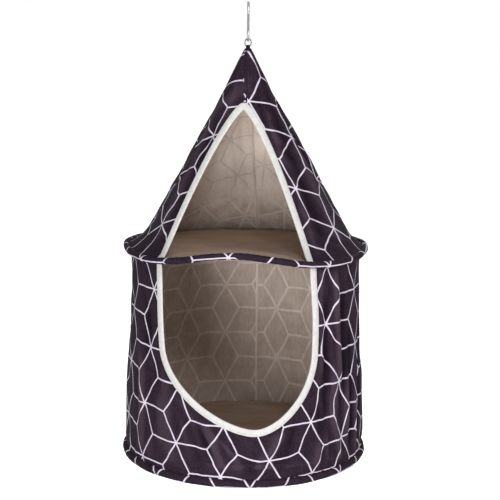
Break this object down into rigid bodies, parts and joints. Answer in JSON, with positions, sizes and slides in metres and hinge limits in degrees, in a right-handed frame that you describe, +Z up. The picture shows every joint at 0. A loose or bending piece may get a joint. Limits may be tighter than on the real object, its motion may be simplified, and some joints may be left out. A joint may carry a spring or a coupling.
{
  "type": "hanging cat cave bed",
  "caption": "Hanging two-level fabric cat cave: a cloth drum with a round doorway under a cloth cone with an arched doorway, on sprung hoops, hung from an S-hook.",
  "frame": {"origin": "underside of the S-hook's upper bend, where it rests on whatever carries the bed", "axes": "+Z up, -Y towards the doorways, +X to the right as seen from the front"},
  "size_m": [0.4359, 0.436, 0.7998],
  "materials": {
    "chrome_rod": "polished chrome plate",
    "steel_ring": "nickel-plated wire",
    "spring_wire": "dull spring steel",
    "printed_cloth": "dark aubergine woven cotton with a white line print of tumbling blocks",
    "lining_cloth": "matt taupe cotton lining",
    "binding_tape": "off-white folded bias tape",
    "cushion_cloth": "soft beige short-pile cushion cloth"
  },
  "bodies": {
    "hook": {"s_hook": "chrome_rod"},
    "ring": {"hanging_ring": "steel_ring"},
    "canopy": {"apex_loop": "printed_cloth", "cone_cover": "printed_cloth", "cone_lining": "lining_cloth", "cone_binding": "binding_tape", "upper_hoop": "spring_wire", "upper_ferrule": "spring_wire", "upper_hoop_sleeve": "printed_cloth", "shelf_panel": "lining_cloth", "shelf_cushion": "cushion_cloth", "drum_cover": "printed_cloth", "drum_lining": "lining_cloth", "drum_binding": "binding_tape"},
    "base": {"lower_hoop": "spring_wire", "lower_ferrule": "spring_wire", "lower_hoop_sleeve": "printed_cloth", "floor_panel": "printed_cloth"},
    "floor_pad": {"floor_cushion": "cushion_cloth"}
  },
  "joints": [
    {"name": "ring_swing", "type": "hinge", "parent": "hook", "child": "ring", "pos_m": [0, 0, -0.0634], "axis": [0, 1, 0], "range_deg": [-30, 30]},
    {"name": "canopy_swing", "type": "hinge", "parent": "ring", "child": "canopy", "pos_m": [0, 0, -0.0739], "axis": [0.766, 0.6428, 0], "range_deg": [-20, 20]},
    {"name": "drum_collapse", "type": "slide", "parent": "canopy", "child": "base", "axis": [0, 0, 1], "range_m": [0, 0.22], "deforming": ["drum_cover", "drum_lining", "drum_binding"]},
    {"name": "cushion_lift", "type": "slide", "parent": "base", "child": "floor_pad", "axis": [0, 0, 1], "range_m": [0, 0.08]}
  ]
}
